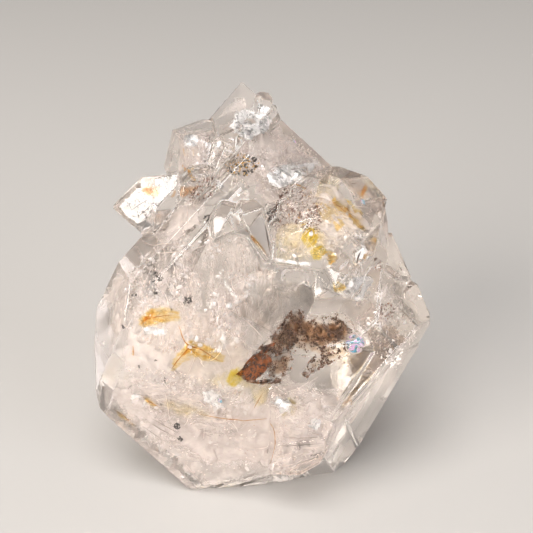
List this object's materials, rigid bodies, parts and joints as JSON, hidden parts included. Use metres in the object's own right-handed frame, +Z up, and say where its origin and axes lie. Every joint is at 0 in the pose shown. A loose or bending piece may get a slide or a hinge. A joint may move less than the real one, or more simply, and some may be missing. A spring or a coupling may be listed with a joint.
{
  "type": "herkimer diamond crystal group",
  "caption": "Group of clear doubly terminated quartz crystals grown together, one broad crystal standing on its end with smaller ones on its shoulders and back.",
  "frame": {"origin": "on the plane the group rests on, below the middle of its outline in X and Y", "axes": "+Z up; +Y away from the broad front face, so that azimuth 0 looks at it; +X to the viewer's right"},
  "size_m": [0.0446, 0.0378, 0.051],
  "materials": {
    "quartz": "clear, polished by growth, faintly warm"
  },
  "bodies": {
    "root": {"crystal_group": "quartz"}
  },
  "joints": []
}
